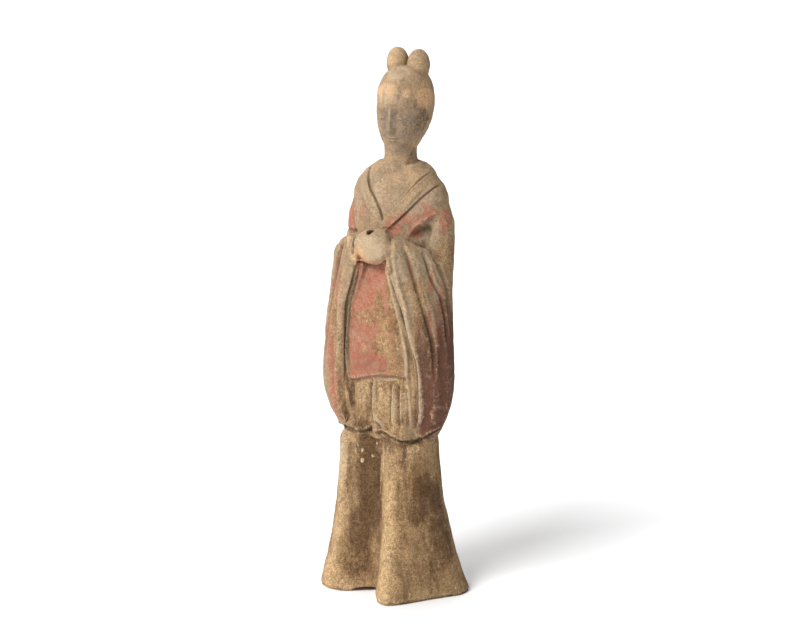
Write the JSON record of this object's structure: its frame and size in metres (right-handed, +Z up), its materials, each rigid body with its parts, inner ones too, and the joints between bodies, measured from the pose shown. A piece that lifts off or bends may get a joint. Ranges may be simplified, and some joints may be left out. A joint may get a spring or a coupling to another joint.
{
  "type": "tomb figure",
  "caption": "Standing pottery attendant with clasped hands, crossed collar, long hanging sleeves and flared trousers, resting on its flat underside.",
  "frame": {"origin": "on the ground, under the middle of the figure's overall box", "axes": "+Z up, the figure faces -Y and its own left side is +X"},
  "size_m": [0.0728, 0.0586, 0.25],
  "materials": {
    "fired_clay": "matt buff to grey-brown fired clay, gritty with earth, with worn red pigment on the jacket and sleeves"
  },
  "bodies": {
    "root": {"attendant_figure": "fired_clay"}
  },
  "joints": []
}
